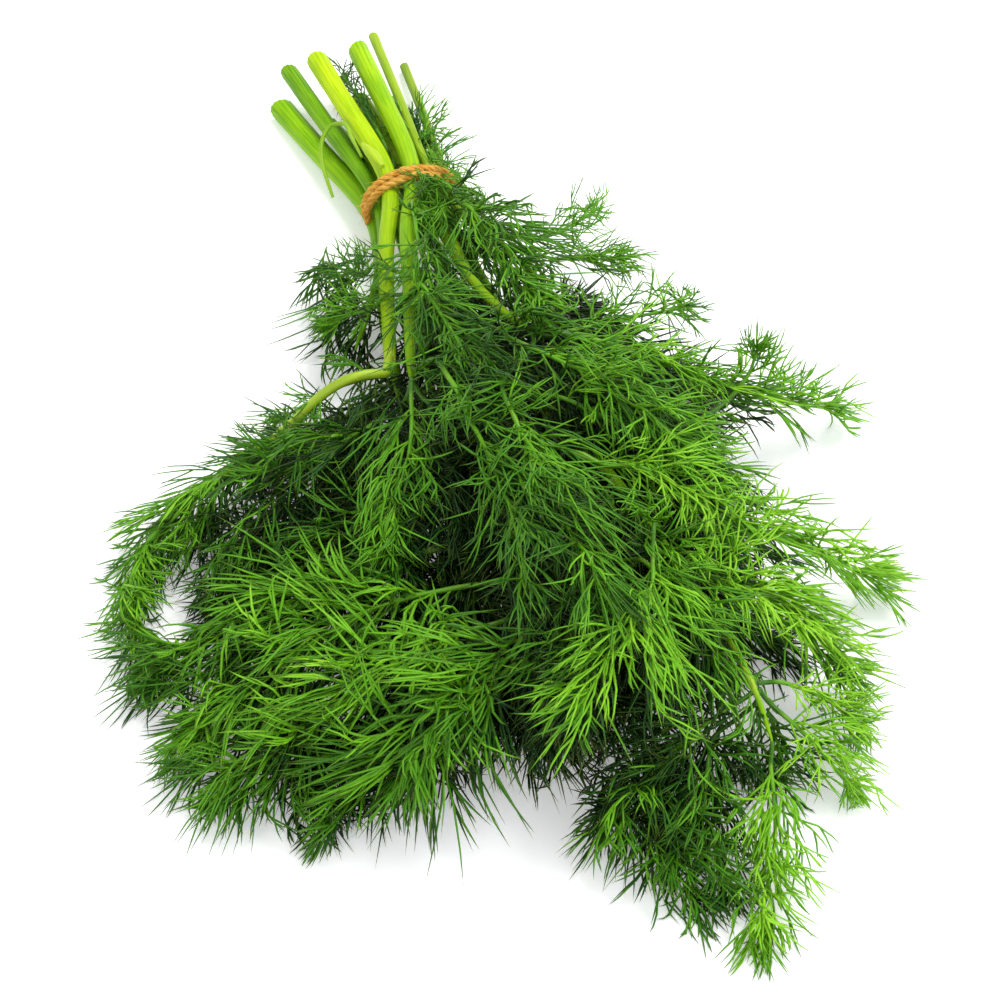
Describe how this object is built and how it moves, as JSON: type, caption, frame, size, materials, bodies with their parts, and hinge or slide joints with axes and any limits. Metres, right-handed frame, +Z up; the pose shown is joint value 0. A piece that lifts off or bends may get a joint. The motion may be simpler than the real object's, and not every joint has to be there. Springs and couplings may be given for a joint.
{
  "type": "dill bunch",
  "caption": "A bunch of fresh dill lying on its side: long green stems held by a twisted cord near their cut ends, with feathery fronds fanning out from it.",
  "frame": {"origin": "on the surface that the bunch lies on, at the middle of its outline", "axes": "+Y along the stems towards their cut ends, +Z up from the surface, +X to the right of someone looking along +Y"},
  "size_m": [0.2194, 0.342, 0.0565],
  "materials": {
    "stem": "fresh green stem skin, finely ribbed, satin",
    "pale_stalk": "pale yellow-green leaf stalk and sheath, satin",
    "frond": "thread-like bright green leaf segments, satin",
    "frond_shaded": "thread-like deep green leaf segments, satin",
    "tie_cord": "rough twisted natural fibre"
  },
  "bodies": {
    "root": {"frond_under_left_back": "frond_shaded", "frond_under_left": "frond_shaded", "frond_under_left_front": "frond_shaded", "frond_under_front": "frond_shaded", "frond_under_right_front": "frond_shaded", "frond_under_right": "frond_shaded", "frond_under_right_back": "frond_shaded", "frond_under_back": "frond_shaded", "stem_left_low": "stem", "stem_left_mid": "stem", "stem_top_left": "stem", "stem_top_right": "stem", "stem_thin_long": "stem", "stem_thin_right": "stem", "stem_core_left": "stem", "stem_core_right": "stem", "stem_right_low": "stem", "stem_under_left": "stem", "stem_under_right": "stem", "looped_stalk": "pale_stalk", "leaf_sheath": "pale_stalk", "tie": "tie_cord", "frond_between_stems": "frond_shaded", "frond_beside_stems": "frond_shaded", "frond_left_edge": "frond", "frond_left_back": "frond", "frond_left_shoulder": "frond", "frond_left_curl": "frond", "frond_left_inner": "frond", "frond_left_middle": "frond", "frond_left_long": "frond", "frond_left_front_1": "frond", "frond_left_front_2": "frond", "frond_left_front_3": "frond", "frond_front": "frond", "frond_front_left": "frond", "frond_front_middle": "frond", "frond_front_dark": "frond_shaded", "frond_front_dark_right": "frond_shaded", "frond_front_tip": "frond", "frond_tip_left": "frond", "frond_tip_right": "frond", "frond_tip_side": "frond", "frond_back_upright": "frond", "frond_back_high": "frond", "frond_right_back": "frond", "frond_right_long": "frond", "frond_right_sprig": "frond", "frond_right_front": "frond", "frond_right_inner": "frond", "frond_right_curl": "frond", "frond_right_middle": "frond", "frond_right_arch": "frond", "frond_top_tie": "frond", "frond_top_tie_right": "frond", "frond_top_centre": "frond", "frond_top_left": "frond", "frond_top_middle": "frond", "frond_top_front": "frond", "frond_top_right": "frond"}
  },
  "joints": []
}
